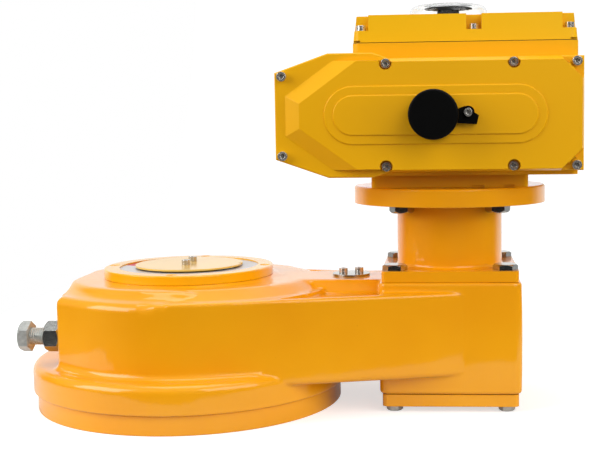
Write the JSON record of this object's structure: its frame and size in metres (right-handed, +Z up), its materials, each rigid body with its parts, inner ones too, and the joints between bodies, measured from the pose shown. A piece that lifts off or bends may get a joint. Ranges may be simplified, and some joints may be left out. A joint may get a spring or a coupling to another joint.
{
  "type": "quarter-turn electric actuator",
  "caption": "Electric actuator head on an adapter stand and a spur reduction gearbox that turns a valve stem a quarter turn.",
  "frame": {"origin": "centre of the valve mounting face, on the valve stem's axis", "axes": "+Z up along the stem, +X from the stem towards the electric head, +Y to the rear"},
  "size_m": [0.622, 0.3592, 0.4506],
  "materials": {
    "gearbox_enamel": "glossy orange-yellow enamel on cast iron",
    "head_enamel": "satin golden yellow powder coat on die-cast aluminium",
    "pointer_enamel": "yellow enamel on sheet steel",
    "zinc_steel": "zinc-plated steel",
    "stainless_steel": "bright stainless steel",
    "gear_steel": "machined steel with an oil film",
    "bearing_steel": "ground bearing steel",
    "ductile_iron": "machined ductile iron",
    "bronze": "machined bronze",
    "gasket_sheet": "pressed gasket sheet",
    "black_rubber": "moulded black rubber",
    "scale_aluminium": "plain aluminium sheet",
    "clear_polycarbonate": "clear moulded polycarbonate",
    "black_plastic": "black moulded plastic",
    "motor_can": "drawn motor can"
  },
  "bodies": {
    "root": {"base_flange": "gearbox_enamel", "gear_housing": "gearbox_enamel", "indicator_ring": "gearbox_enamel", "ring_screws": "gearbox_enamel", "bottom_cover": "gearbox_enamel", "adapter_stand": "gearbox_enamel", "head_housing": "head_enamel", "gear_cover": "head_enamel", "top_cover": "head_enamel", "base_screws": "zinc_steel", "lock_nuts": "zinc_steel", "keeper_plate": "zinc_steel", "keeper_screws": "stainless_steel", "bottom_bolts": "zinc_steel", "adapter_bolts": "zinc_steel", "head_bolts": "zinc_steel", "cover_screws": "stainless_steel", "top_cover_screws": "stainless_steel", "strap_screw": "stainless_steel", "idler_pin": "gear_steel", "lower_bearing": "bearing_steel", "upper_bearing": "bearing_steel", "worm_bearings": "bearing_steel", "lower_bush": "bronze", "upper_bush": "bronze", "head_bush": "bronze", "hand_bushes": "bronze", "base_gasket": "gasket_sheet", "bottom_gasket": "gasket_sheet", "top_gasket": "gasket_sheet", "sleeve_seals": "black_rubber", "cap_strap": "black_rubber", "scale_plate": "scale_aluminium", "deck_plate": "scale_aluminium", "sight_dome": "clear_polycarbonate", "switch_unit": "black_plastic", "motor": "motor_can"},
    "output": {"drive_sleeve": "gear_steel", "quadrant_gear": "ductile_iron", "quadrant_key": "gear_steel", "pointer_disc": "pointer_enamel", "pointer_screws": "stainless_steel"},
    "idler": {"idler_bush": "bronze", "idler_pinion": "gear_steel", "idler_gear": "gear_steel"},
    "input": {"input_pinion": "gear_steel", "shaft_coupling": "gear_steel", "head_shaft": "gear_steel", "worm_wheel": "bronze", "switch_cams": "black_plastic", "indicator_dial": "black_plastic"},
    "worm": {"worm_shaft": "gear_steel", "worm_gear": "gear_steel"},
    "hand": {"hand_shaft": "gear_steel", "hand_gear": "gear_steel"},
    "rotor": {"motor_shaft": "gear_steel", "motor_gear": "gear_steel"},
    "cap": {"rubber_cap": "black_rubber"},
    "stop_front": {"stop_screw_front": "zinc_steel"},
    "stop_rear": {"stop_screw_rear": "zinc_steel"}
  },
  "joints": [
    {"name": "output_turn", "type": "hinge", "parent": "root", "child": "output", "pos_m": [0, 0, 0.08], "axis": [0, 0, 1], "range_deg": [0, 90]},
    {"name": "idler_turn", "type": "hinge", "parent": "root", "child": "idler", "pos_m": [0.19, 0, 0.08], "axis": [0, 0, 1], "range_deg": [-226.7, 0]},
    {"name": "input_turn", "type": "hinge", "parent": "root", "child": "input", "pos_m": [0.30375, 0, 0.11], "axis": [0, 0, 1], "range_deg": [0, 632.8]},
    {"name": "hand_turn", "type": "hinge", "parent": "root", "child": "hand", "pos_m": [0.28725, -0.09, 0.326], "axis": [0, 1, 0], "continuous": true},
    {"name": "worm_turn", "type": "hinge", "parent": "root", "child": "worm", "pos_m": [0.37475, -0.09, 0.326], "axis": [0, 1, 0], "continuous": true},
    {"name": "rotor_turn", "type": "hinge", "parent": "root", "child": "rotor", "pos_m": [0.20325, -0.09, 0.326], "axis": [0, 1, 0], "continuous": true},
    {"name": "cap_pull", "type": "slide", "parent": "root", "child": "cap", "axis": [0, -1, 0], "range_m": [0, 0.045]},
    {"name": "stop_front_adjust", "type": "slide", "parent": "root", "child": "stop_front", "axis": [-1, 0, 0], "range_m": [0, 0.01]},
    {"name": "stop_rear_adjust", "type": "slide", "parent": "root", "child": "stop_rear", "axis": [-1, 0, 0], "range_m": [0, 0.01]}
  ],
  "couplings": [
    {"joint": "idler_turn", "follows": "output_turn", "ratio": -2.5185},
    {"joint": "input_turn", "follows": "output_turn", "ratio": 7.0309},
    {"joint": "worm_turn", "follows": "hand_turn", "ratio": -1.2727},
    {"joint": "rotor_turn", "follows": "hand_turn", "ratio": -1.4}
  ]
}
